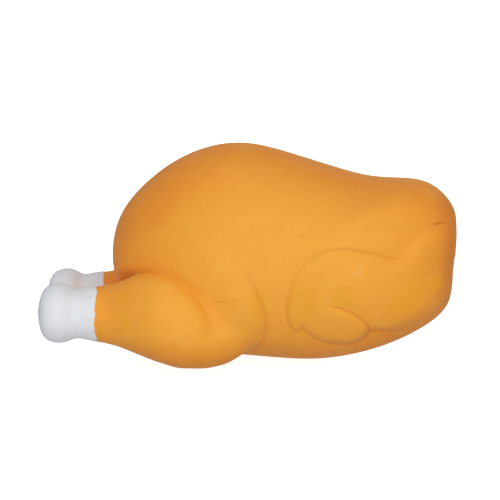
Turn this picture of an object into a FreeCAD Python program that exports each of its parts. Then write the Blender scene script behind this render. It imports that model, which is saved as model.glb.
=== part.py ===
"""Squeaking rubber chicken: a hollow latex roast bird lying on its back, breast up.

Frame: millimetres, +Z up, +X towards the neck end, legs towards -X.  The origin is the
centre of the footprint on the floor.  The bird's own left side is at -Y.
"""

import FreeCAD, Part
import math
import os

from FreeCAD import Rotation, Vector

# ---------------------------------------------------------------- driving dimensions
WALL = 2.4  # latex skin
JOINT_GAP = 0.3  # free space between solids of bodies that move apart

# Torso: this side outline, (x, z), narrows towards each flank by a superellipse law.
TORSO_OUTLINE = [
    (-94, 73), (-89, 96), (-70, 120.5), (-38, 141), (-6, 147), (26, 140.5), (62, 129.4),
    (84, 124.2), (100, 123.1), (124, 118.8), (131.4, 113.2), (138.4, 103.8), (141.8, 87), (139, 61),
    (135.7, 38), (118.4, 21.5), (85, 6.6), (45, -0.5), (10, 1), (-20, 4), (-55, 14), (-83, 36),
    (-91.6, 53),
]
TORSO_CENTRE = (20, 76)
TORSO_HALF_WIDTH = 72
TORSO_POWER = 2.1
FLANK_ANGLES = (0, 20, 38, 54, 67, 77, 84, 88)  # stations from the middle to the flank

# Breast squeeze: the crown drops inside the sides, which fold like a bellows.
SQUEEZE_ANCHOR_Z = 97
CROWN_Z = 119

# Leg tube: x, height of the centre, half height, distance from the middle, half width.
BONE_STATIONS = [
    (-140.6, 34.6, 4, 33, 4), (-139.2, 34.6, 13, 33, 13), (-135.6, 34.7, 17.8, 33, 17.8),
    (-128.8, 34.9, 20.1, 33, 20.1), (-122, 34.8, 19, 33, 18.9), (-117, 34.5, 16.9, 33, 16.8),
    (-107, 34.6, 17.9, 33.2, 17.6), (-102, 34.3, 18.6, 33.6, 18.4),
]
CALF_STATIONS = [
    (-94, 34.4, 20.1, 34.5, 20), (-87, 34.9, 22.2, 36.5, 21.6), (-78, 35.9, 26.1, 39, 24.9),
    (-70, 35.9, 28.7, 41.5, 27.5), (-62, 35.5, 30.9, 43.8, 29.2), (-54, 34.2, 31.8, 45.3, 30),
    (-46, 32.3, 31.8, 46.2, 30.2), (-38, 30, 29.5, 46.5, 29.4), (-30, 26.8, 26, 46.3, 27.6),
    (-22, 22.7, 20.4, 45.5, 23), (-14, 19.8, 14.8, 44.5, 17), (-7, 18.5, 8, 43.5, 10),
    (-4, 18, 4, 43, 5),
]
PAINT_EDGE_X = -102  # the white bone end starts here
LEG_PIVOT = (-94.4, 35)  # x, z
LEG_FLEX_LENGTH = 15.5
LEG_ROOT_TILT = 15  # degrees that the leg's root plane leans back at its foot

# Thighs and wings stand proud of the torso inside these side outlines, (x, z).
THIGH_HEIGHT = 5
THIGH_OUTLINE = [
    (-46, 89), (-28, 87.5), (-15, 81.5), (1.5, 64), (9.5, 47), (12.3, 31), (9.4, 19.5),
    (4.5, 12.5), (-4, 6), (-16, 1), (-45, -4), (-70, 22), (-78, 45), (-66, 74),
]
THIGH_INNER_Y = 30
# The lower thigh, which rests on the floor: an ellipsoid's centre, on the left, and radii.
KNEE_CENTRE = (-22, -36, 40)
KNEE_RADII = (46, 31, 34.6)
WING_HEIGHT = 3.5
WING_FADE = 4  # the wing runs into the torso where the skin turns towards the neck
WING_OUTLINE = [
    (36.2, 30.3), (34.4, 27.4), (31.8, 26.2), (28.8, 28.6), (26.2, 35), (25.2, 43.5), (26.4, 51.5),
    (29.2, 61), (33.4, 69), (39.2, 75.4), (46.5, 80.4), (57, 83.6), (67, 83.4), (77, 81.3),
    (90, 78), (98, 76), (108, 84.5), (120, 94.5), (134, 96), (146, 84), (146, 50), (132, 42.5),
    (123.5, 35), (114, 29.8), (104, 26), (93, 24.8), (85, 26), (80.6, 27.8), (77.9, 33), (72.6, 38.2),
    (65, 42.5), (53, 43), (44, 36),
]
WING_INNER_Y = 26
WING_TIP_HEIGHT = 5
WING_TIP_OUTLINE = [
    (36.8, 30), (41, 24), (50, 19), (57, 16.9), (64, 16), (71, 17), (76.5, 20), (79.4, 23.8),
    (80.4, 27.8), (77, 32.6), (72, 37.4), (65, 41.6), (54, 42), (44.6, 35),
]

# Squeaker in the neck end, its axis along +X.
SQUEAKER_Z = 80
COLLAR_RADIUS = 14
COLLAR_DEPTH = 13
COLLAR_FACE_X = 140
FLANGE_RADIUS, FLANGE_THICKNESS = 11, 1.6
BARREL_RADIUS, BARREL_LENGTH, BARREL_WALL = 9, 13, 1.4
SEAT_CLEARANCE = 0.05
GRILLE_RADIUS, GRILLE_THICKNESS = 7.4, 1
GRILLE_HOLE_RADIUS, GRILLE_RING_RADIUS, GRILLE_RING_HOLES = 0.8, 4.2, 8
CHANNEL_RADIUS, CHANNEL_LENGTH = 3.4, 11
CHANNEL_SLOT_WIDTH, CHANNEL_SLOT_DEPTH = 3, 1.6
REED_WIDTH, REED_THICKNESS, REED_LENGTH = 2.6, 0.15, 7.5
REED_ROOT = 1  # length of reed held under the clamp
REED_CLEARANCE = 0.12
CLAMP_LENGTH = 3.6

BIG = 400


# ---------------------------------------------------------------- shape helpers
def closed_curve(points):
    """A smooth closed wire through points."""
    curve = Part.BSplineCurve()
    curve.interpolate(points, PeriodicFlag=True)
    return Part.Wire([curve.toShape()])


def half_space(point, normal):
    """A large block on the side of the plane that normal points to."""
    block = Part.makeBox(BIG, BIG, BIG, Vector(-BIG / 2, -BIG / 2, 0))
    block.Placement.Rotation = Rotation(Vector(0, 0, 1), Vector(*normal))
    block.Placement.Base = Vector(*point)
    return block


def slab(low, high):
    """Everything between two heights."""
    return Part.makeBox(BIG, BIG, high - low, Vector(-BIG / 2, -BIG / 2, low))


def cylinder_x(radius, x_start, x_end):
    """A cylinder on the squeaker's axis."""
    base = Vector(x_start, 0, SQUEAKER_Z)
    return Part.makeCylinder(radius, x_end - x_start, base, Vector(1, 0, 0))


def mirrored(shape):
    """The same piece on the bird's right side."""
    return shape.mirror(Vector(0, 0, 0), Vector(0, 1, 0))


def torso(offset):
    """The torso as one solid, its surface moved outwards by offset."""
    centre_x, centre_z = TORSO_CENTRE
    half_width = TORSO_HALF_WIDTH + offset
    angles = [-a for a in reversed(FLANK_ANGLES[1:])] + list(FLANK_ANGLES)
    wires = []
    for angle in angles:
        share = math.sin(math.radians(angle))
        scale = (1 - abs(share) ** TORSO_POWER) ** (1 / TORSO_POWER)
        points = []
        for x, z in TORSO_OUTLINE:
            dx, dz = x - centre_x, z - centre_z
            radius = math.hypot(dx, dz)
            grown = scale * (radius + offset) / radius
            points.append(Vector(centre_x + dx * grown, half_width * share, centre_z + dz * grown))
        wires.append(closed_curve(points))
    solid = Part.makeLoft(wires, True, False)
    return solid.common(half_space((0, 0, max(0, -offset)), (0, 0, 1)))


def tube(stations, inset):
    """A left-hand tube along X through elliptical stations, its surface moved in by inset."""
    wires = []
    for x, centre_z, half_height, centre_y, half_width in stations:
        if x < stations[0][0] + inset or min(half_height, half_width) < inset + 1:
            continue
        points = []
        for step in range(12):
            angle = math.radians(step * 30)
            y = -centre_y + (half_width - inset) * math.cos(angle)
            z = centre_z + (half_height - inset) * math.sin(angle)
            points.append(Vector(x, y, z))
        wires.append(closed_curve(points))
    solid = Part.makeLoft(wires, True, False)
    return solid.common(half_space((0, 0, inset), (0, 0, 1)))


def flank_prism(outline, inner_y):
    """A prism through the left flank with a side outline."""
    wire = closed_curve([Vector(x, -inner_y, z) for x, z in outline])
    return Part.Face(wire).extrude(Vector(0, -BIG / 4, 0))


def side_pad(prism, height, shift):
    """The torso's surface raised by height inside a prism, and faded out along the shift in X."""
    raised = torso(height)
    raised.translate(Vector(shift, 0, 0))
    return raised.common(prism).cut(torso(0))


# ---------------------------------------------------------------- the latex skin
def leg_root_plane(past_root):
    """A half space on the bone side of the leg's root plane, moved past_root towards the bone."""
    tilt = math.radians(LEG_ROOT_TILT)
    normal = Vector(-math.cos(tilt), 0, -math.sin(tilt))
    pivot = Vector(LEG_PIVOT[0], 0, LEG_PIVOT[1])
    point = pivot + normal * (past_root - LEG_FLEX_LENGTH / 2)
    return half_space(tuple(point), tuple(normal))


def leg_skin():
    """The whole left leg as a hollow tube, closed at the bone's tip, open to the torso."""
    stations = BONE_STATIONS + CALF_STATIONS
    return tube(stations, 0).cut(tube(stations, WALL))


def calf(leg):
    """The calf, fixed to the torso behind the leg's root plane."""
    return leg.cut(leg_root_plane(0)).cut(torso(-WALL))


def leg_flex(leg):
    """The ring of skin that bends when the bone end is pushed."""
    bone_side = half_space((PAINT_EDGE_X + JOINT_GAP, 0, 0), (-1, 0, 0))
    return leg.common(leg_root_plane(0)).cut(bone_side)


def bone_end(leg):
    """The white bone end with its neck and knob."""
    return leg.common(half_space((PAINT_EDGE_X, 0, 0), (-1, 0, 0)))


def neck_collar():
    """The thick rim that the squeaker is pushed into, before its bore is cut."""
    return cylinder_x(COLLAR_RADIUS, COLLAR_FACE_X - COLLAR_DEPTH, COLLAR_FACE_X)


def squeaker_seat():
    """The stepped bore through the neck end."""
    bore = cylinder_x(BARREL_RADIUS + SEAT_CLEARANCE, 0, BIG / 2)
    recess_x = COLLAR_FACE_X - FLANGE_THICKNESS
    return bore.fuse(cylinder_x(FLANGE_RADIUS + SEAT_CLEARANCE, recess_x, BIG / 2))


def torso_skin():
    """The hollow torso with the squeaker's collar, cut open where the legs leave it."""
    leg = tube(BONE_STATIONS + CALF_STATIONS, 0)
    past_face = half_space((COLLAR_FACE_X, 0, 0), (1, 0, 0))
    flat_end = past_face.common(cylinder_x(COLLAR_RADIUS, 0, BIG / 2))
    skin = torso(0).cut(torso(-WALL)).fuse(neck_collar()).cut(flat_end)
    return skin.cut(squeaker_seat()).cut(leg).cut(mirrored(leg))


def knee():
    """The ellipsoid that fills out the lower thigh."""
    matrix = FreeCAD.Matrix()
    matrix.scale(*KNEE_RADII)
    ellipsoid = Part.makeSphere(1).transformGeometry(matrix)
    ellipsoid.translate(Vector(*KNEE_CENTRE))
    return ellipsoid


def thigh(leg_solid):
    """The upper leg's bulge on the flank, fuller towards the floor."""
    prism = flank_prism(THIGH_OUTLINE, THIGH_INNER_Y)
    lower = knee().common(flank_prism(THIGH_OUTLINE, 0)).cut(torso(0))
    return side_pad(prism, THIGH_HEIGHT, 0).fuse(lower).cut(leg_solid)


def wing_tip():
    """The small folded end of the wing."""
    return side_pad(flank_prism(WING_TIP_OUTLINE, WING_INNER_Y), WING_TIP_HEIGHT, 0)


def wing():
    """The folded wing, which fades out towards the neck end."""
    pad = side_pad(flank_prism(WING_OUTLINE, WING_INNER_Y), WING_HEIGHT, -WING_FADE)
    return pad.cut(flank_prism(WING_TIP_OUTLINE, 0))


# ---------------------------------------------------------------- the squeaker
def squeaker_body():
    """A flanged barrel with an inner floor that holds the reed channel."""
    back = COLLAR_FACE_X - BARREL_LENGTH
    flange = cylinder_x(FLANGE_RADIUS, COLLAR_FACE_X - FLANGE_THICKNESS, COLLAR_FACE_X)
    barrel = cylinder_x(BARREL_RADIUS, back, COLLAR_FACE_X)
    hollow = cylinder_x(BARREL_RADIUS - BARREL_WALL, back + BARREL_WALL, BIG / 2)
    channel_hole = cylinder_x(CHANNEL_RADIUS, 0, BIG / 2)
    return flange.fuse(barrel).cut(hollow).cut(channel_hole)


def squeaker_grille():
    """The perforated disc that closes the barrel."""
    back = COLLAR_FACE_X - GRILLE_THICKNESS
    disc = cylinder_x(GRILLE_RADIUS, back, COLLAR_FACE_X)
    centres = [(0, 0)]
    for step in range(GRILLE_RING_HOLES):
        angle = 2 * math.pi * step / GRILLE_RING_HOLES
        centres.append((GRILLE_RING_RADIUS * math.cos(angle), GRILLE_RING_RADIUS * math.sin(angle)))
    for y, z in centres:
        base = Vector(back - 1, y, SQUEAKER_Z + z)
        drill = Part.makeCylinder(GRILLE_HOLE_RADIUS, GRILLE_THICKNESS + 2, base, Vector(1, 0, 0))
        disc = disc.cut(drill)
    return disc


def channel_span():
    """Where the reed channel starts and ends along X."""
    end = COLLAR_FACE_X - BARREL_LENGTH + BARREL_WALL
    return end - CHANNEL_LENGTH, end


def reed_channel():
    """The lower half of the reed's holder, with an air slot under the reed."""
    start, end = channel_span()
    rod = cylinder_x(CHANNEL_RADIUS, start, end)
    top = SQUEAKER_Z - REED_THICKNESS / 2 - REED_CLEARANCE
    lower = rod.cut(slab(top, top + BIG))
    slot = Part.makeBox(
        CHANNEL_LENGTH - CLAMP_LENGTH,
        CHANNEL_SLOT_WIDTH,
        CHANNEL_SLOT_DEPTH,
        Vector(start, -CHANNEL_SLOT_WIDTH / 2, top - CHANNEL_SLOT_DEPTH),
    )
    return lower.cut(slot)


def reed_clamp():
    """The upper half of the holder, which wedges the reed's root."""
    _, end = channel_span()
    rod = cylinder_x(CHANNEL_RADIUS, end - CLAMP_LENGTH, end)
    bottom = SQUEAKER_Z + REED_THICKNESS / 2 + REED_CLEARANCE
    air_hole = Part.makeCylinder(1, BIG, Vector(0, 0, bottom + 1.7), Vector(1, 0, 0))
    return rod.cut(slab(bottom - BIG, bottom)).cut(air_hole)


def squeaker_reed():
    """The tongue that vibrates as air passes."""
    _, end = channel_span()
    length = REED_LENGTH
    base = Vector(
        end - CLAMP_LENGTH + REED_ROOT - length,
        -REED_WIDTH / 2,
        SQUEAKER_Z - REED_THICKNESS / 2,
    )
    return Part.makeBox(length, REED_WIDTH, REED_THICKNESS, base)


# ---------------------------------------------------------------- assembly
def build():
    """Every node's shape by name."""
    nodes = {}
    skin = torso_skin()
    nodes["back_shell"] = skin.common(slab(-1, SQUEEZE_ANCHOR_Z))
    nodes["breast_wall"] = skin.common(slab(SQUEEZE_ANCHOR_Z, CROWN_Z - JOINT_GAP))
    nodes["breast_crown"] = skin.common(slab(CROWN_Z, BIG))

    leg = leg_skin()
    leg_solid = tube(BONE_STATIONS + CALF_STATIONS, 0)
    left_side = {
        "thigh": thigh(leg_solid),
        "calf": calf(leg),
        "leg_flex": leg_flex(leg),
        "bone_end": bone_end(leg),
        "wing": wing(),
        "wing_tip": wing_tip(),
    }
    for name, shape in left_side.items():
        nodes["left_" + name] = shape
        nodes["right_" + name] = mirrored(shape)

    nodes["squeaker_body"] = squeaker_body()
    nodes["squeaker_grille"] = squeaker_grille()
    nodes["reed_channel"] = reed_channel()
    nodes["reed_clamp"] = reed_clamp()
    nodes["squeaker_reed"] = squeaker_reed()
    return nodes


def main():
    os.makedirs("parts", exist_ok=True)
    for name, shape in build().items():
        box = shape.BoundBox
        print(
            f"{name:16s} solids {len(shape.Solids)} valid {shape.isValid()} volume {shape.Volume:9.1f}"
            f"  x {box.XMin:7.1f} {box.XMax:7.1f}  y {box.YMin:6.1f} {box.YMax:6.1f}"
            f"  z {box.ZMin:6.1f} {box.ZMax:6.1f}"
        )
        shape.exportStep(f"parts/{name}.step")


main()
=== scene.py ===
"""Looks of the squeaking rubber chicken: its latex skin, painted bone ends, squeaker, light and camera.

The skin is one smooth surface, the zero level of a distance field that is built from the same
outlines as the CAD model.  It is meshed once, then cut into shells where the joints need it.
Shape dimensions are in millimetres here and are scaled to metres when a mesh is made.
"""

import math

import bpy
import numpy as np
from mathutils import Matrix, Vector


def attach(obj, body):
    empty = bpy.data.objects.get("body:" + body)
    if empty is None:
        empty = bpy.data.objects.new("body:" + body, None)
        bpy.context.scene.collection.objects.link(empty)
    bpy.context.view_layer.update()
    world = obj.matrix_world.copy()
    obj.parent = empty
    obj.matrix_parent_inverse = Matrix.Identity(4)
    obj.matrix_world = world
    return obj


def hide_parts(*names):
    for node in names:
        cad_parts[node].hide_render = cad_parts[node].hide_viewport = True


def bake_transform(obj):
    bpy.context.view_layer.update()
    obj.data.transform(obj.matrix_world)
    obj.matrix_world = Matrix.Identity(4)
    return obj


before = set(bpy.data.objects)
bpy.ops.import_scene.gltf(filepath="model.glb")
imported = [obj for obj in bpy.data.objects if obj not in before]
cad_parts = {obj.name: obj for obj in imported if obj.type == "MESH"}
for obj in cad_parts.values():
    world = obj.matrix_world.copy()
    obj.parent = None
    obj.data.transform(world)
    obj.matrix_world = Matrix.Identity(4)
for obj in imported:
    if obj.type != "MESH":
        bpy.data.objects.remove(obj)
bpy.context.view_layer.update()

MM = 0.001

# ---------------------------------------------------------------- dimensions, as in the CAD
TORSO_OUTLINE = [
    (-94, 73), (-89, 96), (-70, 120.5), (-38, 141), (-6, 147), (26, 140.5), (62, 129.4), (84, 124.2),
    (100, 123.1), (124, 118.8), (131.4, 113.2), (138.4, 103.8), (141.8, 87), (139, 61), (135.7, 38),
    (118.4, 21.5), (85, 6.6), (45, -0.5), (10, 1), (-20, 4), (-55, 14), (-83, 36), (-91.6, 53),
]
TORSO_CENTRE = (20, 76)
TORSO_HALF_WIDTH = 72
TORSO_POWER = 2.1
# Leg: x, height of the centre, half height, distance from the middle, half width.
LEG_STATIONS = [
    (-140.2, 34.6, 10, 33, 10), (-136.6, 34.7, 17, 33, 17), (-128.8, 34.9, 20, 33, 20),
    (-122, 34.8, 18.9, 33, 18.8), (-117, 34.5, 16.8, 33, 16.7), (-107, 34.6, 17.9, 33.2, 17.6),
    (-102, 34.3, 18.6, 33.6, 18.4), (-94, 34.4, 20.1, 34.5, 20), (-87, 34.9, 22.2, 36.5, 21.6),
    (-78, 35.9, 26.1, 39, 24.9), (-70, 35.9, 28.7, 41.5, 27.5), (-62, 35.5, 30.9, 43.8, 29.2),
    (-54, 34.2, 31.8, 45.3, 30), (-46, 32.3, 31.8, 46.2, 30.2), (-38, 30, 29.5, 46.5, 29.4),
    (-30, 26.8, 26, 46.3, 27.6), (-22, 22.7, 20.4, 45.5, 23), (-14, 19.8, 14.8, 44.5, 17),
    (-7, 18.5, 8, 43.5, 10),
]
WING_OUTLINE = [
    (36, 29.2), (34.4, 27.2), (31.8, 26.2), (28.8, 28.6), (26.2, 35), (25.2, 43.5), (26.4, 51.5),
    (29.2, 61), (33.4, 69), (39.2, 75.4), (46.5, 80.4), (57, 83.6), (67, 83.4), (77, 81.3), (90, 78),
    (98, 76), (108, 84.5), (120, 94.5), (134, 96), (152, 84), (152, 50), (132, 42.5), (123.5, 35),
    (114, 29.8), (104, 26), (93, 24.8), (85, 26), (78, 24), (63, 19), (49, 21.5), (40, 26.8),
]
WING_TIP_OUTLINE = [
    (36.8, 28.8), (41, 24), (50, 19), (57, 16.9), (64, 16), (71, 17), (76.5, 20), (79.4, 23.8),
    (80.6, 27.8), (77.9, 33), (72.6, 38.2), (65, 42.8), (56.5, 45.4), (45, 42),
]
# How far the wing, its tip and the thigh stand proud, and how much more in their fullest part.
WING_HEIGHT = 1.8
WING_SHOULDER_EXTRA = 1.6
WING_TIP_HEIGHT = 1.5
WING_TIP_GROOVE = 0.8
THIGH_HEIGHT = 3
THIGH_KNEE_EXTRA = 2.5
# The faint line along the side where the two halves of the mould met, (x, z).
SEAM_LINE = [
    (-21.5, 48), (-12.2, 49.9), (13.9, 51.7), (28.3, 53.3), (54.4, 57.7), (80.7, 60.3),
    (103.3, 61.5),
]
THIGH_OUTLINE = [
    (-46, 89), (-28, 87.5), (-15, 81.5), (1.5, 64), (9.5, 47), (12.3, 31), (9.4, 19.5), (4.5, 12.5),
    (-4, 6), (-16, 1), (-45, -4), (-70, 22), (-78, 45), (-66, 74),
]
# The lower thigh, which rests on the floor: an ellipsoid's centre, for the right leg, and radii.
KNEE_CENTRE = (-22, 36, 40)
KNEE_RADII = (46, 31, 34.6)
FAR_BONE_EXTRA = 1.6  # the far bone end reaches this much further
# The pinched start of the crease above the calf, (x, z).
CREVICE_CENTRE = (-85, 58.5)
CREVICE_RADII = (7, 6)
CREVICE_DEPTH = 4.5
# The short curved nick at the top of the wing's shoulder, (x, z).
NICK_TOP = (127.5, 96.9)
NICK_CURVE = 0.03
PAINT_EDGE_X = -102.55
PAINT_EDGE_OFFSET = 0.65  # the paint ends further out on the far leg, and further in on the near
PAINT_LIFT = 0.3
PAINT_THICKNESS = 0.5
SKIN_THICKNESS = 2.2
# The skin is cut at this height into an upper and a lower shell.
SQUEEZE_ANCHOR_Z = 97
SQUEAKER_Z = 80
SQUEAKER_HOLE_RADIUS = 11.1
NECK_FACE_X = 140.6
LEG_PIVOT = (-94.4, 35)
LEG_FLEX_LENGTH = 15.5
LEG_ROOT_TILT = math.radians(15)
GRID_STEP = 1.5


# ---------------------------------------------------------------- colours and marks
LATEX_FLANK = (0.88, 0.43, 0.057, 1)
# Painted shade: the darker, redder latex towards the midline, where the sides turn away from the light.
LATEX_MIDLINE_SHADE = (0.88, 0.32, 0.034, 1)
LATEX_PALE = (0.93, 0.43, 0.066, 1)
LATEX_DEEP = (0.82, 0.31, 0.03, 1)
# Painted shade: the darker, redder latex at the neck end, the tail end and the underside.
LATEX_ENDS_SHADE = (0.76, 0.25, 0.024, 1)
LATEX_YELLOW = (0.85, 0.41, 0.02, 1)
# Painted shade: the dark colour laid along the creases, the nick and the mould seam.
LATEX_CREASE_SHADE = (0.6, 0.14, 0.008, 1)
LATEX_SPECK = (0.36, 0.085, 0.01, 1)
LATEX_SMUDGE = (0.9, 0.5, 0.2, 1)
BONE_WHITE = (0.79, 0.8, 0.825, 1)
BONE_GREY = (0.75, 0.765, 0.79, 1)
BONE_DIRT = (0.55, 0.49, 0.38, 1)
BONE_SPECK = (0.4, 0.33, 0.24, 1)
BRASS_YELLOW = (0.79, 0.56, 0.2, 1)
BRASS_TARNISH = (0.45, 0.27, 0.09, 1)
# Where the latex is more yellow: centre and radius.
YELLOW_PATCHES = [
    ((111, -52, 50), 15), ((101, -56, 45), 12), ((124, -44, 58), 10), ((-86, -57, 49), 7),
    ((-81, -62, 34), 8), ((38, -69, 46), 16), ((6, -66, 47), 13), ((62, -68, 50), 12),
]
# A pale smudge on the wing: centre and radius.
SMUDGE = ((71.8, -69, 69.6), 5.5)

# ---------------------------------------------------------------- studio
FLOOR_GLOW = 0.74
LIGHT_DIRECTION = (0.05, -0.78, 0.62)
LIGHT_SHAPE = (2, 1, 0.3)  # makes the frontal light narrow and tall
LIGHT_EDGE = (0.1, 0.55)
LIGHT_AROUND = (0.36, 0.36, 0.38, 1)
LIGHT_FRONT = (1.02, 1.02, 1.02, 1)
BACK_LIGHT_PLACE = (0, 1.7, 0.3)
BACK_LIGHT_SIZE = (1.2, 0.5)
BACK_LIGHT_POWER = 8
CAMERA_TARGET = (0, 0, 0.0734)
CAMERA_AZIMUTH = math.radians(1.5)
CAMERA_ELEVATION = math.radians(8)
CAMERA_DISTANCE = 1.5
CAMERA_LENS = 157.7
SENSOR_WIDTH = 36


# ---------------------------------------------------------------- curves and distance maps
def spline(points, closed, pieces=24):
    """Points along a smooth curve through points, pieces of them from each to the next."""
    p = np.array(points, float)
    count = len(p)
    following = np.roll(p, -1, axis=0)
    gap = np.linalg.norm(following - p, axis=1)
    slope = (following - p) / gap[:, None]
    matrix = np.zeros((count, count))
    right = np.zeros_like(p)
    for i in range(count):
        before, after = (i - 1) % count, (i + 1) % count
        if not closed and i in (0, count - 1):
            matrix[i, i] = 1
            right[i] = slope[0] if i == 0 else slope[count - 2]
            continue
        matrix[i, before] = gap[i]
        matrix[i, i] = 2 * (gap[before] + gap[i])
        matrix[i, after] = gap[before]
        right[i] = 3 * (gap[i] * slope[before] + gap[before] * slope[i])
    tangent = np.linalg.solve(matrix, right)
    t = np.linspace(0, 1, pieces, endpoint=False)[:, None]
    curve = []
    for i in range(count if closed else count - 1):
        after = (i + 1) % count
        curve.append(
            (2 * t**3 - 3 * t**2 + 1) * p[i]
            + (t**3 - 2 * t**2 + t) * gap[i] * tangent[i]
            + (3 * t**2 - 2 * t**3) * p[after]
            + (t**3 - t**2) * gap[i] * tangent[after]
        )
    if not closed:
        curve.append(p[-1:])
    return np.vstack(curve)


class DistanceMap:
    """Signed distance to a closed curve in a plane, negative inside, sampled on a fine grid."""

    STEP = 0.25

    def __init__(self, outline, margin):
        self.low = outline.min(0) - margin
        size = ((outline.max(0) + margin - self.low) / self.STEP).astype(int) + 2
        u = self.low[0] + self.STEP * np.arange(size[0])[:, None]
        v = self.low[1] + self.STEP * np.arange(size[1])[None, :]
        nearest = np.full(size, np.inf)
        inside = np.zeros(size, bool)
        for a, b in zip(outline, np.roll(outline, -1, axis=0)):
            along = b - a
            share = ((u - a[0]) * along[0] + (v - a[1]) * along[1]) / max(along @ along, 1e-12)
            share = np.clip(share, 0, 1)
            square = (u - a[0] - share * along[0]) ** 2 + (v - a[1] - share * along[1]) ** 2
            nearest = np.minimum(nearest, square)
            if a[1] != b[1]:
                crosses = (v >= min(a[1], b[1])) & (v < max(a[1], b[1]))
                inside ^= crosses & (u < a[0] + (v - a[1]) * along[0] / along[1])
        self.values = np.where(inside, -1, 1) * np.sqrt(nearest)

    def __call__(self, u, v):
        limit = np.array(self.values.shape) - 1.001
        i = np.clip((u - self.low[0]) / self.STEP, 0, limit[0])
        j = np.clip((v - self.low[1]) / self.STEP, 0, limit[1])
        i0, j0 = i.astype(int), j.astype(int)
        fi, fj = i - i0, j - j0
        m = self.values
        low = m[i0, j0] * (1 - fi) + m[i0 + 1, j0] * fi
        high = m[i0, j0 + 1] * (1 - fi) + m[i0 + 1, j0 + 1] * fi
        return low * (1 - fj) + high * fj


def smoothstep(value, start, end):
    t = np.clip((value - start) / (end - start), 0, 1)
    return t * t * (3 - 2 * t)


def smooth_min(a, b, radius):
    overlap = np.maximum(radius - np.abs(a - b), 0) / radius
    return np.minimum(a, b) - overlap * overlap * radius / 4


def rounded_step(inside, width, foot=0.9):
    """0 outside an edge, rising to 1 at width inside it, steep first, with a rounded foot."""
    depth = (inside + np.sqrt(inside * inside + foot * foot)) / 2
    t = np.clip(depth / width, 0, 1)
    return t * (2 - t)


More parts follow.
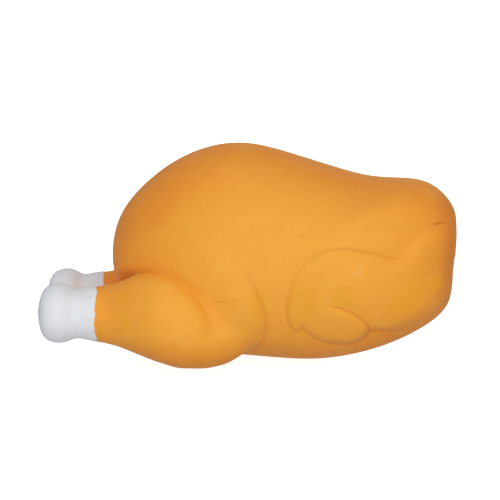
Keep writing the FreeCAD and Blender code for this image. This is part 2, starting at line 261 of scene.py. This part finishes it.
# ---------------------------------------------------------------- the field
class Chicken:
    """The outer surface as a field: negative inside, about the distance in mm near the surface."""

    def __init__(self):
        outline = spline(TORSO_OUTLINE, True)
        dx, dz = outline[:, 0] - TORSO_CENTRE[0], outline[:, 1] - TORSO_CENTRE[1]
        angle = np.arctan2(dz, dx)
        order = np.argsort(angle)
        samples = 4096
        self.angles = np.linspace(-math.pi, math.pi, samples + 1)
        self.radii = np.interp(self.angles, angle[order], np.hypot(dx, dz)[order], period=2 * math.pi)
        turn = self.angles[1] - self.angles[0]
        beside = np.concatenate([self.radii[-2:-1], self.radii, self.radii[1:2]])
        self.slopes = (beside[2:] - beside[:-2]) / (2 * turn)
        self.wing = DistanceMap(spline(WING_OUTLINE, True), 12)
        self.wing_tip = DistanceMap(spline(WING_TIP_OUTLINE, True), 12)
        self.thigh = DistanceMap(spline(THIGH_OUTLINE, True), 12)
        stations = spline(LEG_STATIONS, False)
        self.leg_x = stations[:, 0]
        self.leg_centre_z = stations[:, 1]
        self.leg_half_height = stations[:, 2]
        self.leg_centre_y = stations[:, 3]
        self.leg_width_share = stations[:, 4] / stations[:, 2]
        upper = [(x, half_height) for x, _, half_height, _, _ in LEG_STATIONS] + [(-3.5, 2.5)]
        lower = [(x, -half_height) for x, half_height in reversed(upper)]
        self.leg = DistanceMap(spline(upper + lower, True), 30)

    def torso(self, x, y, z):
        dx, dz = x - TORSO_CENTRE[0], z - TORSO_CENTRE[1]
        angle = np.arctan2(dz, dx)
        radius = np.interp(angle, self.angles, self.radii)
        slope = np.interp(angle, self.angles, self.slopes)
        n = TORSO_POWER
        a = np.maximum(np.hypot(dx, dz), 1e-3) / radius
        b = np.maximum(np.abs(y), 1e-3) / TORSO_HALF_WIDTH
        gauge = (a**n + b**n) ** (1 / n)
        grad_a = np.sqrt(1 + (slope / radius) ** 2) / radius
        grad = np.hypot(a ** (n - 1) * grad_a, b ** (n - 1) / TORSO_HALF_WIDTH) * gauge ** (1 - n)
        return (gauge - 1) / grad

    def relief(self, x, y, z):
        """How far the thighs and wings stand proud of the torso."""
        flank = smoothstep(np.abs(y), 6, 24)
        wing = -self.wing(x, z)
        tip = -self.wing_tip(x, z)
        thigh = -self.thigh(x, z)

        shoulder = smoothstep(x, 93, 104) * smoothstep(z, 55, 66)
        folded = -smooth_min(-wing, -tip, 0.8)
        low_edge = smoothstep(x - z, 64, 82)
        crisp = rounded_step(folded, 6 + 8 * smoothstep(z, 40, 76) + 8 * low_edge)
        crisp = crisp + 0.4 * low_edge * (rounded_step(folded, 3) - crisp)
        soft = smoothstep(folded, -6, 11)
        height = WING_HEIGHT + WING_SHOULDER_EXTRA * smoothstep(x + z, 62, 110)
        total = height * ((1 - shoulder) * crisp + shoulder * soft)
        beside_tip = smoothstep(x + z, 94, 102) * smoothstep(x, 48, 62)
        total = total + WING_TIP_HEIGHT * rounded_step(tip, 6) * smoothstep(x, 42, 64)
        total = total - WING_TIP_GROOVE * np.exp(-(((tip + 1.5) / 3.5) ** 2)) * beside_tip
        groove = 0.45 * np.exp(-((folded / 1.4) ** 2)) * (1 - shoulder) * (1 - low_edge)
        groove = groove + 0.4 * np.exp(-(((folded + 1) / 3) ** 2)) * shoulder
        nick = 0.6 * np.exp(-((self.nick(x, z) / 0.9) ** 2))
        nick = nick * smoothstep(x, 121.5, 124.5) * (1 - smoothstep(x, 129, 133))
        total = (total - groove - nick) * (1 - smoothstep(x, 128, 141) * 0.6)

        fade = smoothstep(x - z, -132, -84)
        foot = 0.9 + 2 * smoothstep(z, 48, 78)
        full = THIGH_HEIGHT + THIGH_KNEE_EXTRA * smoothstep(x - z, -84, -40)
        bulge = full * rounded_step(thigh, 17, foot) * fade
        crease = 0.4 * np.exp(-((thigh / 1.3) ** 2)) * smoothstep(x - z, -112, -70)
        return flank * (total + bulge - crease)

    def nick(self, x, z):
        """Height above the nick's arc."""
        return z - NICK_TOP[1] + NICK_CURVE * (x - NICK_TOP[0]) ** 2

    def lines(self, points):
        """The moulded lines of the skin: each one's signed distance, and how strong its painted crease
        shade is.
        """
        x, y, z = points.T
        flank = smoothstep(np.abs(y), 6, 24)
        wing, tip, thigh = -self.wing(x, z), -self.wing_tip(x, z), -self.thigh(x, z)
        folded = -smooth_min(-wing, -tip, 0.8)
        body, leg = self.body_and_leg(x, y, z)
        shoulder = smoothstep(x, 93, 104) * smoothstep(z, 55, 66)
        wing_line = 0.2 + 0.2 * smoothstep(x, 30, 62)
        wing_line = wing_line + 0.25 * (1 - smoothstep(z, 28, 38)) * smoothstep(x, 38, 46)
        wing_line = wing_line * (1 - 0.7 * shoulder) * (1 - 0.8 * smoothstep(x - z, 70, 84))
        tip_line = 0.8 * smoothstep(x + z, 96, 104) * smoothstep(x, 46, 60) * smoothstep(z, 21, 31)
        thigh_line = 0.3 * smoothstep(x - z, -80, -40) * smoothstep(x, -42, -20)
        # The crevice above the calf gets the strongest painted shade.
        leg_line = 0.2 * (1 - smoothstep(x - z, -82, -42)) + 3.2 * self.crevice(x, z)
        seam = z - np.interp(x, *np.transpose(SEAM_LINE))
        broken = 0.5 + 0.5 * np.sin(x / 2.3 + 1.7 * np.sin(x / 6.1))
        seam_line = 0.3 * broken * smoothstep(x, -26, -20) * (1 - smoothstep(x, 92, 104))
        seam_line = seam_line + 0.7 * smoothstep(x, -23, -20) * (1 - smoothstep(x, -15, -12))
        nick_line = 0.8 * smoothstep(x, 122, 124) * (1 - smoothstep(x, 129, 132))
        distances = np.stack([folded, tip, thigh, body - leg, seam, self.nick(x, z)], axis=1)
        strengths = np.stack([wing_line, tip_line, thigh_line, leg_line, seam_line, nick_line], axis=1)
        return distances, strengths * flank[:, None]

    def crevice(self, x, z):
        """1 where the skin is pinched deepest, at the start of the crease above the calf, and 0 away."""
        along = (x - CREVICE_CENTRE[0]) / CREVICE_RADII[0]
        up = (z - CREVICE_CENTRE[1]) / CREVICE_RADII[1]
        return np.exp(-(along**2) - up**2)

    def knee(self, x, y, z):
        offset = (x - KNEE_CENTRE[0], np.abs(y) - KNEE_CENTRE[1], z - KNEE_CENTRE[2])
        share = sum((o / r) ** 2 for o, r in zip(offset, KNEE_RADII))
        slope = sum((o / r**2) ** 2 for o, r in zip(offset, KNEE_RADII))
        return (share - 1) / (2 * np.sqrt(np.maximum(slope, 1e-6)))

    def leg_tube(self, x, y, z):
        x = x + FAR_BONE_EXTRA * smoothstep(-x, 96, 116) * (y > 0)
        centre_z = np.interp(x, self.leg_x, self.leg_centre_z)
        centre_y = np.interp(x, self.leg_x, self.leg_centre_y)
        share = np.interp(x, self.leg_x, self.leg_width_share)
        across = np.hypot((np.abs(y) - centre_y) / share, z - centre_z)
        return self.leg(x, across)

    def body_and_leg(self, x, y, z):
        """The torso with its thighs and wings, sunk a little beside the calves, and the legs."""
        body = self.torso(x, y, z) - self.relief(x, y, z)
        body = -smooth_min(-body, NECK_FACE_X - x, 1.5)
        knee = -smooth_min(-self.knee(x, y, z), -self.thigh(x, z), 16)
        body = smooth_min(body, knee, 2.5)
        leg = self.leg_tube(x, y, z)
        sunk = (1 - smoothstep(x - z, -66, -34)) * smoothstep(np.abs(y), 24, 40)
        return body + 1.3 * sunk * np.exp(-((leg / 6) ** 2)), leg

    def __call__(self, points):
        x, y, z = points[..., 0], points[..., 1], points[..., 2]
        body, leg = self.body_and_leg(x, y, z)
        crease = 1.2 + 1.8 * smoothstep(x - z, -138, -120) + 9 * smoothstep(x - z, -66, -36)
        skin = smooth_min(body, leg, crease)
        fold = (1 - smoothstep(x - z, -88, -52)) * smoothstep(np.abs(y), 8, 24)
        skin = skin + 0.45 * fold * np.exp(-(((body - leg) / 2) ** 2))
        pinch = CREVICE_DEPTH * fold * self.crevice(x, z)
        skin = skin + pinch * np.exp(-(((body - leg) / 5) ** 2))
        return -smooth_min(-skin, z, 1)

    def gradient(self, points, reach=0.4):
        parts = []
        for axis in range(3):
            shift = np.zeros(3)
            shift[axis] = reach
            parts.append(self(points + shift) - self(points - shift))
        return np.stack(parts, axis=-1) / (2 * reach)

    def normals(self, points):
        slope = self.gradient(points)
        return slope / np.linalg.norm(slope, axis=1, keepdims=True)


# ---------------------------------------------------------------- meshing
def net(values, low, step):
    """A quad mesh of the zero level of a grid of values: one point in each cell that it crosses."""
    inside = values < 0
    nx, ny, nz = values.shape
    count = np.zeros((nx - 1, ny - 1, nz - 1), np.int8)
    for i in (0, 1):
        for j in (0, 1):
            for k in (0, 1):
                count += inside[i : nx - 1 + i, j : ny - 1 + j, k : nz - 1 + k]
    crossed = (count > 0) & (count < 8)
    index = np.full(crossed.shape, -1)
    index[crossed] = np.arange(crossed.sum())
    cells = np.argwhere(crossed)
    total = np.zeros((len(cells), 3))
    hits = np.zeros(len(cells))
    faces = []
    for axis in range(3):
        unit = np.eye(3, dtype=int)
        one, two = unit[(axis + 1) % 3], unit[(axis + 2) % 3]
        for a in (0, 1):
            for b in (0, 1):
                start = cells + a * one + b * two
                v0 = values[tuple(start.T)]
                v1 = values[tuple((start + unit[axis]).T)]
                cross = (v0 < 0) != (v1 < 0)
                share = v0[cross] / (v0[cross] - v1[cross])
                total[cross] += start[cross] + share[:, None] * unit[axis]
                hits[cross] += 1
        ahead = np.roll(inside, -1, axis)
        change = np.argwhere(inside != ahead)
        last = np.array(values.shape) - 2
        change = change[(change >= 1).all(1) & (change <= last).all(1)]
        quad = np.stack([index[tuple((change - s).T)] for s in (0 * one, one, one + two, two)], axis=1)
        outward = inside[tuple(change.T)]
        quad[~outward] = quad[~outward][:, ::-1]
        faces.append(quad)
    return low + step * total / hits[:, None], np.vstack(faces)


def skin_mesh(field):
    """The whole outer skin, its points brought onto the field's zero level."""
    low = np.array([-150.0, 0.0, -3.0]) - GRID_STEP * np.array([0, 0.5, 0])
    high = np.array([145, 79, 150])
    axes = [np.arange(low[i], high[i], GRID_STEP) for i in range(3)]
    values = np.empty([len(a) for a in axes])
    yy, zz = np.meshgrid(axes[1], axes[2], indexing="ij")
    for i, x in enumerate(axes[0]):
        values[i] = field(np.stack([np.full_like(yy, x), yy, zz], axis=-1))
    values = np.concatenate([values[:, :0:-1], values[:, 1:]], axis=1)
    low[1] = -axes[1][-1]
    points, faces = net(values, low, GRID_STEP)
    for _ in range(4):
        slope = field.gradient(points)
        move = (field(points) / np.maximum((slope**2).sum(1), 0.3))[:, None] * slope
        length = np.linalg.norm(move, axis=1, keepdims=True)
        points = points - move * np.minimum(1, 0.8 / np.maximum(length, 1e-9))
    return points, [tuple(f) for f in faces.tolist()]


def clip(points, faces, values):
    """The part of a mesh where values, one for each point, are negative, cut cleanly at zero."""
    keep = values < 0
    new_points = list(points)
    made = {}
    kept = []

    def crossing(a, b):
        key = (min(a, b), max(a, b))
        if key not in made:
            share = values[a] / (values[a] - values[b])
            made[key] = len(new_points)
            new_points.append(points[a] + share * (points[b] - points[a]))
        return made[key]

    for face in faces:
        inside = [keep[i] for i in face]
        if all(inside):
            kept.append(face)
            continue
        if not any(inside):
            continue
        outline = []
        for here, there in zip(face, face[1:] + face[:1]):
            if keep[here]:
                outline.append(here)
            if keep[here] != keep[there]:
                outline.append(crossing(here, there))
        if len(outline) > 2:
            kept.append(tuple(outline))
    used = sorted({i for face in kept for i in face})
    renumber = {old: new for new, old in enumerate(used)}
    faces = [tuple(renumber[i] for i in face) for face in kept]
    return np.array(new_points)[used], faces


def shell(piece_name, field, points, faces, material, lift=0.0, thickness=SKIN_THICKNESS):
    """An object with real thickness: the outer skin raised by lift, an inner skin, and rims."""
    normals = field.normals(points)
    count = len(points)
    outer = points + lift * normals
    inner = points + (lift - thickness) * normals
    all_faces = faces + [tuple(i + count for i in reversed(face)) for face in faces]
    edges = {}
    for face in faces:
        for a, b in zip(face, face[1:] + face[:1]):
            edges[(a, b)] = True
    rims = [(b, a, a + count, b + count) for a, b in edges if (b, a) not in edges]
    mesh = bpy.data.meshes.new(piece_name)
    mesh.from_pydata((np.vstack([outer, inner]) * MM).tolist(), [], all_faces + rims)
    mesh.shade_smooth()
    loop_normals = []
    for polygon in mesh.polygons:
        for vertex in polygon.vertices:
            if polygon.index < len(faces):
                loop_normals.append(normals[vertex])
            else:
                loop_normals.append((0, 0, 0))
    mesh.normals_split_custom_set(loop_normals)
    distances, strengths = field.lines(points)
    for name, values in (("line_distances", distances), ("line_strengths", strengths)):
        for part, columns in (("_a", values[:, :3]), ("_b", values[:, 3:])):
            attribute = mesh.attributes.new(name + part, "FLOAT_VECTOR", "POINT")
            attribute.data.foreach_set("vector", np.vstack([columns, columns]).astype(np.float32).ravel())
    mesh.materials.append(material)
    piece = bpy.data.objects.new(piece_name, mesh)
    bpy.context.scene.collection.objects.link(piece)
    return piece


# ---------------------------------------------------------------- materials
class Material:
    """A procedural material, with short calls for the nodes that are used here."""

    def __init__(self, name):
        self.data = bpy.data.materials.new(name)
        self.data.use_nodes = True
        self.tree = self.data.node_tree
        self.tree.nodes.clear()
        output = self.tree.nodes.new("ShaderNodeOutputMaterial")
        self.shader = self.tree.nodes.new("ShaderNodeBsdfPrincipled")
        self.tree.links.new(self.shader.outputs[0], output.inputs[0])

    def set(self, **values):
        """Sets or links the shader's own sockets; a capital starts each word of a socket's name."""
        for name, value in values.items():
            self.put(self.shader.inputs[name.replace("_", " ")], value)

    def put(self, socket, value):
        if isinstance(value, bpy.types.NodeSocket):
            self.tree.links.new(value, socket)
        else:
            socket.default_value = value

    def node(self, kind, inputs, **settings):
        node = self.tree.nodes.new("ShaderNode" + kind)
        for key, value in settings.items():
            setattr(node, key, value)
        for key, value in inputs.items():
            self.put(node.inputs[key], value)
        return node

    def place(self):
        return self.node("TexCoord", {}).outputs["Object"]

    def math(self, operation, a, b=0.0):
        return self.node("Math", {0: a, 1: b}, operation=operation).outputs[0]

    def vector(self, operation, a, b=(0, 0, 0), output="Vector"):
        return self.node("VectorMath", {0: a, 1: b}, operation=operation).outputs[output]

    def attribute(self, name):
        return self.node("Attribute", {}, attribute_name=name).outputs["Vector"]

    def noise(self, place, size, detail=2.0, roughness=0.5):
        """Noise with features of about size, in metres."""
        values = {"Vector": place, "Scale": 1 / size, "Detail": detail, "Roughness": roughness}
        return self.node("TexNoise", values).outputs[0]

    def ramp(self, value, start, end, low=0.0, high=1.0):
        return self.node("MapRange", {0: value, 1: start, 2: end, 3: low, 4: high}).outputs[0]

    def mix(self, share, a, b):
        return self.node("Mix", {0: share, 6: a, 7: b}, data_type="RGBA").outputs[2]

    def stretched(self, place, scale):
        return self.vector("MULTIPLY", place, scale)

    def spot(self, place, centre, radius):
        """1 near a centre, falling to 0 at radius, both in millimetres."""
        centre = tuple(c * MM for c in centre)
        away = self.vector("DISTANCE", place, centre, output="Value")
        return self.ramp(away, radius * MM, radius * MM * 0.25)

    def specks(self, place, apart, radius, share):
        """Small dots, about apart from each other, in the given share of the places."""
        cells = self.node("TexVoronoi", {"Vector": place, "Scale": 1 / apart})
        dot = self.ramp(cells.outputs["Distance"], radius / apart, 0.6 * radius / apart)
        kept = self.node("SeparateColor", {0: cells.outputs["Color"]}).outputs[0]
        return self.math("MULTIPLY", dot, self.math("LESS_THAN", kept, share))

    def moulded_line_shade(self):
        """Painted crease shade along the moulded lines: the sum of strength / (1 + (distance /
        width)^2)^2.
        """
        total = None
        for part, widths in (("_a", (0.9, 0.9, 1.6)), ("_b", (2.2, 0.35, 0.45))):
            away = self.vector("DIVIDE", self.attribute("line_distances" + part), widths)
            squared = self.vector("ADD", self.vector("MULTIPLY", away, away), (1, 1, 1))
            falloff = self.vector("DIVIDE", (1, 1, 1), self.vector("MULTIPLY", squared, squared))
            strengths = self.attribute("line_strengths" + part)
            line = self.vector("DOT_PRODUCT", falloff, strengths, output="Value")
            total = line if total is None else self.math("ADD", total, line)
        return total

    def bump(self, height, depth, strength=1.0, after=None):
        """Bump from a height of 0 to 1 that stands for depth, in millimetres."""
        values = {"Height": height, "Distance": depth * MM, "Strength": strength}
        if after is not None:
            values["Normal"] = after
        return self.node("Bump", values).outputs[0]


def latex():
    """Orange natural latex: a satin skin, uneven in colour, with specks and a smudge, and painted shade
    towards the midline, at the ends, on the underside and along the moulded lines.
    """
    m = Material("orange_latex")
    place = m.place()
    wobble = m.node("TexNoise", {"Vector": place, "Scale": 60.0}).outputs["Color"]
    drift = m.vector("SCALE", m.vector("SUBTRACT", wobble, (0.5, 0.5, 0.5)))
    drift.node.inputs["Scale"].default_value = 0.012
    uneven = m.vector("ADD", place, drift)

    along, across, height = m.node("SeparateXYZ", {0: uneven}).outputs
    # Painted shade: the latex is made darker and redder towards the midline, where the sides turn away
    # from the light.
    from_middle = m.math("ABSOLUTE", across)
    color = m.mix(m.ramp(from_middle, 0.02, 0.07), LATEX_MIDLINE_SHADE, LATEX_FLANK)
    # Painted shade: darker, redder latex towards the neck end, the tail end and the underside.
    neck_end = m.ramp(along, 0.125, 0.136)
    tail_end = m.ramp(m.math("SUBTRACT", along, height), -0.15, -0.185, 0, 0.8)
    neck_rise = m.math("MULTIPLY", m.math("MAXIMUM", m.math("SUBTRACT", along, 0.06), 0.0), 0.35)
    underside = m.ramp(m.math("SUBTRACT", height, neck_rise), 0.024, 0.002, 0, 0.9)
    end_shade = m.math("MAXIMUM", m.math("MAXIMUM", neck_end, tail_end), underside)
    color = m.mix(end_shade, color, LATEX_ENDS_SHADE)
    color = m.mix(m.ramp(m.noise(place, 0.045, 3), 0.3, 0.7, 0, 0.4), color, LATEX_PALE)
    streaks = m.noise(m.stretched(place, (0.5, 1, 1)), 0.006, 4)
    color = m.mix(m.ramp(streaks, 0.35, 0.8, 0, 0.3), color, LATEX_DEEP)
    yellow = None
    for centre, radius in YELLOW_PATCHES:
        patch = m.spot(uneven, centre, radius)
        yellow = patch if yellow is None else m.math("MAXIMUM", yellow, patch)
    color = m.mix(m.math("MULTIPLY", yellow, 0.5), color, LATEX_YELLOW)
    smudge = m.math("MULTIPLY", m.spot(uneven, SMUDGE[0], SMUDGE[1]), 0.35)
    color = m.mix(smudge, color, LATEX_SMUDGE)
    lines = m.moulded_line_shade()
    # Painted shade: darker latex along the creases, the nick and the mould seam, and deepest in the
    # crevice above the calf.
    color = m.mix(m.math("MULTIPLY", lines, 0.6), color, LATEX_CREASE_SHADE)
    specks = m.specks(place, 0.006, 0.0005, 0.25)
    color = m.mix(m.math("MULTIPLY", specks, 0.55), color, LATEX_SPECK)
    m.set(Base_Color=color)

    rough = m.ramp(m.noise(place, 0.012, 3), 0.3, 0.7, 0.42, 0.56)
    m.set(Roughness=rough, Specular_IOR_Level=0.35)
    dents = m.bump(m.noise(place, 0.02, 2), 0.25)
    grain = m.bump(m.noise(place, 0.0012, 3, 0.6), 0.02, after=dents)
    deep = m.bump(m.math("MULTIPLY", lines, -1.0), 0.25, after=grain)
    m.set(Normal=m.bump(specks, 0.04, after=deep))
    m.shader.subsurface_method = "RANDOM_WALK"
    m.set(Subsurface_Weight=0.2, Subsurface_Radius=(1.0, 0.3, 0.1), Subsurface_Scale=0.002)
    return m.data


def bone_paint():
    """White dipped paint: a thick satin coat with faint dirt and rub marks."""
    m = Material("bone_paint")
    place = m.place()
    color = m.mix(m.ramp(m.noise(place, 0.014, 3), 0.3, 0.7), BONE_WHITE, BONE_GREY)
    streaks = m.noise(m.stretched(place, (0.35, 1, 1)), 0.0035, 4, 0.6)
    color = m.mix(m.ramp(streaks, 0.62, 0.8, 0, 0.5), color, BONE_DIRT)
    specks = m.specks(place, 0.012, 0.0004, 0.35)
    color = m.mix(m.math("MULTIPLY", specks, 0.6), color, BONE_SPECK)
    m.set(Base_Color=color, Roughness=m.ramp(m.noise(place, 0.008, 3), 0.3, 0.7, 0.34, 0.5))
    runs = m.bump(m.noise(m.stretched(place, (0.5, 1, 1)), 0.01, 2), 0.2)
    m.set(Normal=m.bump(m.noise(place, 0.0015, 3, 0.6), 0.02, after=runs))
    return m.data


def plastic(name, color, rough, marks):
    """Moulded plastic: a fine spark-eroded grain, cloudy colour and a few rubbed marks."""
    m = Material(name)
    place = m.place()
    darker = tuple(0.86 * c for c in color[:3]) + (1,)
    shade = m.mix(m.ramp(m.noise(place, 0.006, 3), 0.3, 0.7), color, darker)
    rub = m.ramp(m.noise(m.stretched(place, (1, 0.3, 1)), 0.0012, 3, 0.6), 0.62, 0.75, 0, 0.4)
    m.set(Base_Color=m.mix(rub, shade, marks))
    m.set(Roughness=m.ramp(m.noise(place, 0.002, 2), 0.3, 0.7, rough - 0.06, rough + 0.08))
    m.set(Normal=m.bump(m.noise(place, 0.0003, 2, 0.6), 0.01))
    return m.data


def brass():
    """Rolled brass shim, brushed along its length and a little tarnished."""
    m = Material("reed_brass")
    place = m.place()
    brushed = m.noise(m.stretched(place, (0.08, 1, 1)), 0.00012, 2)
    tarnish = m.ramp(m.noise(place, 0.003, 3), 0.45, 0.75, 0, 0.6)
    m.set(Base_Color=m.mix(tarnish, BRASS_YELLOW, BRASS_TARNISH), Metallic=1.0)
    m.set(Roughness=m.ramp(brushed, 0.3, 0.7, 0.22, 0.42), Normal=m.bump(brushed, 0.004))
    return m.data


# ---------------------------------------------------------------- the pieces
LATEX = latex()
BONE_PAINT = bone_paint()
SQUEAKER_PLASTIC = plastic("squeaker_plastic", (0.8, 0.78, 0.7, 1), 0.42, (0.9, 0.89, 0.84, 1))
REED_PLASTIC = plastic("reed_plastic", (0.72, 0.2, 0.12, 1), 0.38, (0.8, 0.4, 0.3, 1))
BRASS = brass()
ROOT_NORMAL = np.array([-math.cos(LEG_ROOT_TILT), 0, -math.sin(LEG_ROOT_TILT)])


def past_leg_root(points):
    """Distance beyond the leg's root plane, towards the bone."""
    start = np.array([LEG_PIVOT[0], 0, LEG_PIVOT[1]]) - ROOT_NORMAL * LEG_FLEX_LENGTH / 2
    return (points - start) @ ROOT_NORMAL


def paint_edge(points):
    """Where the white paint ends along X, a wavy line round the leg."""
    angle = np.arctan2(points[:, 2] - 34.6, np.abs(points[:, 1]) - 33.5)
    side = np.sign(points[:, 1])
    wave = 0.55 * np.sin(3 * angle + 1.0 * side) + 0.35 * np.sin(7 * angle + 2.1 + side)
    wave += 0.28 * np.sin(13 * angle + 0.4) + 0.2 * np.sin(23 * angle + 1.7 * side)
    return PAINT_EDGE_X - PAINT_EDGE_OFFSET * side + 0.8 * wave


def bend(piece):
    """Bakes the piece's placement into its mesh."""
    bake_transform(piece)


def build_skin():
    field = Chicken()
    points, faces = skin_mesh(field)

    upper = clip(points, faces, SQUEEZE_ANCHOR_Z - points[:, 2])
    upper_skin = shell("upper_skin", field, *upper, LATEX)
    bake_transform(upper_skin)
    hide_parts("breast_wall", "breast_crown")

    lower = clip(points, faces, points[:, 2] - SQUEEZE_ANCHOR_Z)
    legs = clip(*lower, -past_leg_root(lower[0]))
    body = clip(*lower, past_leg_root(lower[0]))
    opening = SQUEAKER_HOLE_RADIUS - np.hypot(body[0][:, 1], body[0][:, 2] - SQUEAKER_Z)
    body = clip(*body, np.where(body[0][:, 0] > 100, opening, -1))
    lower_skin = shell("lower_skin", field, *body, LATEX)
    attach(lower_skin, "shell")
    fixed = ["back_shell"]
    for side in ("left_", "right_"):
        fixed += [side + part for part in ("thigh", "calf", "wing", "wing_tip")]
    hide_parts(*fixed)

    for side, name in ((-1, "left"), (1, "right")):
        leg = clip(*legs, -side * legs[0][:, 1])
        leg_skin = shell(name + "_leg_skin", field, *leg, LATEX)
        bend(leg_skin)
        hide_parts(name + "_leg_flex")
        paint = clip(*leg, leg[0][:, 0] - paint_edge(leg[0]))
        bone = shell(name + "_bone_paint", field, *paint, BONE_PAINT, PAINT_LIFT, PAINT_THICKNESS)
        bend(bone)
        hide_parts(name + "_bone_end")


def finish_squeaker():
    finishes = {
        "squeaker_body": SQUEAKER_PLASTIC, "squeaker_grille": SQUEAKER_PLASTIC,
        "reed_channel": REED_PLASTIC, "reed_clamp": REED_PLASTIC, "squeaker_reed": BRASS,
    }
    for name, material in finishes.items():
        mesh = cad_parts[name].data
        mesh.materials.clear()
        mesh.materials.append(material)


build_skin()
finish_squeaker()

# ---------------------------------------------------------------- floor, light and camera
def build_stage():
    """A white sweep: a round floor that rises into a wall far from the object."""
    profile = [(0, 0), (0.5, 0), (2, 0), (9, 0), (11, 0.3), (12.5, 1.2), (13.5, 3), (14, 9)]
    turns = 96
    points = []
    for radius, height in profile:
        for i in range(turns):
            angle = 2 * math.pi * i / turns
            points.append((radius * math.cos(angle), radius * math.sin(angle), height))
    faces = []
    for ring in range(len(profile) - 1):
        for i in range(turns):
            after = (i + 1) % turns
            low, high = ring * turns, (ring + 1) * turns
            faces.append((low + i, high + i, high + after, low + after))
    mesh = bpy.data.meshes.new("floor")
    mesh.from_pydata(points, [], faces)
    mesh.shade_smooth()
    floor = bpy.data.objects.new("floor", mesh)
    bpy.context.scene.collection.objects.link(floor)
    m = Material("pale_floor")
    m.set(Base_Color=(0.55, 0.55, 0.55, 1), Roughness=0.9, Specular_IOR_Level=0.0)
    m.set(Emission_Color=(1, 1, 1, 1), Emission_Strength=FLOOR_GLOW)
    mesh.materials.append(m.data)
    floor.visible_diffuse = False
    floor.visible_glossy = False
    floor.visible_shadow = False


def area_light(name, place, target, size, power):
    data = bpy.data.lights.new(name, "AREA")
    data.shape = "RECTANGLE"
    data.size, data.size_y = size
    data.energy = power
    light = bpy.data.objects.new(name, data)
    light.location = place
    light.rotation_euler = (Vector(target) - Vector(place)).to_track_quat("-Z", "Y").to_euler()
    light.visible_camera = False
    light.visible_glossy = False
    bpy.context.scene.collection.objects.link(light)


def build_light():
    """A soft tent of light from the front, and a weaker soft box behind."""
    world = bpy.data.worlds.new("studio")
    bpy.context.scene.world = world
    world.use_nodes = True
    tree = world.node_tree
    direction = tree.nodes.new("ShaderNodeTexCoord")
    narrowed = tree.nodes.new("ShaderNodeVectorMath")
    narrowed.operation = "MULTIPLY"
    narrowed.inputs[1].default_value = LIGHT_SHAPE
    unit = tree.nodes.new("ShaderNodeVectorMath")
    unit.operation = "NORMALIZE"
    frontal = tree.nodes.new("ShaderNodeVectorMath")
    frontal.operation = "DOT_PRODUCT"
    frontal.inputs[1].default_value = LIGHT_DIRECTION
    box = tree.nodes.new("ShaderNodeMapRange")
    box.interpolation_type = "SMOOTHSTEP"
    box.inputs[1].default_value, box.inputs[2].default_value = LIGHT_EDGE
    tree.links.new(direction.outputs["Generated"], narrowed.inputs[0])
    tree.links.new(narrowed.outputs[0], unit.inputs[0])
    tree.links.new(unit.outputs[0], frontal.inputs[0])
    tree.links.new(frontal.outputs["Value"], box.inputs[0])
    light = tree.nodes.new("ShaderNodeMix")
    light.data_type = "RGBA"
    light.inputs[6].default_value = LIGHT_AROUND
    light.inputs[7].default_value = LIGHT_FRONT
    tree.links.new(box.outputs[0], light.inputs[0])
    tree.links.new(light.outputs[2], tree.nodes["Background"].inputs["Color"])
    area_light("back_light", BACK_LIGHT_PLACE, (0, 0, 0.07), BACK_LIGHT_SIZE, BACK_LIGHT_POWER)
    bpy.context.scene.view_settings.view_transform = "Standard"
    bpy.context.scene.view_settings.look = "Medium High Contrast"


def build_camera():
    """The photograph's view: a long lens, 8 degrees above the horizon."""
    back = Vector((
        math.sin(CAMERA_AZIMUTH) * math.cos(CAMERA_ELEVATION),
        -math.cos(CAMERA_AZIMUTH) * math.cos(CAMERA_ELEVATION),
        math.sin(CAMERA_ELEVATION),
    ))
    data = bpy.data.cameras.new("camera")
    data.lens = CAMERA_LENS
    data.sensor_width = SENSOR_WIDTH
    camera = bpy.data.objects.new("camera", data)
    camera.location = Vector(CAMERA_TARGET) + back * CAMERA_DISTANCE
    camera.rotation_euler = (-back).to_track_quat("-Z", "Y").to_euler()
    bpy.context.scene.collection.objects.link(camera)
    bpy.context.scene.camera = camera


build_stage()
build_light()
build_camera()
